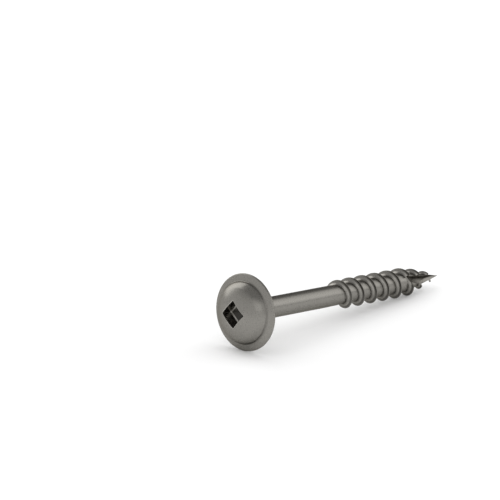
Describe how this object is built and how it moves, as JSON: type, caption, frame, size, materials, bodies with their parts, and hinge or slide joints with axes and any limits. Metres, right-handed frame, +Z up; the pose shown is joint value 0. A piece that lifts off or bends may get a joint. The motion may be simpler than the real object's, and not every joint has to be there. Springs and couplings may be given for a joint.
{
  "type": "washer head wood screw",
  "caption": "Wood screw with a low domed washer head, square drive recess, part-threaded shank, coarse right-hand thread and a fluted starting point.",
  "frame": {"origin": "on the surface that the screw lies on, below the middle of its outline", "axes": "+X from the head towards the point, +Z up from the surface; the shank dips towards the point"},
  "size_m": [0.0456, 0.011, 0.011],
  "materials": {
    "coated_steel": "satin, warm dark grey dry-lubricated coating"
  },
  "bodies": {
    "root": {"screw": "coated_steel"}
  },
  "joints": []
}
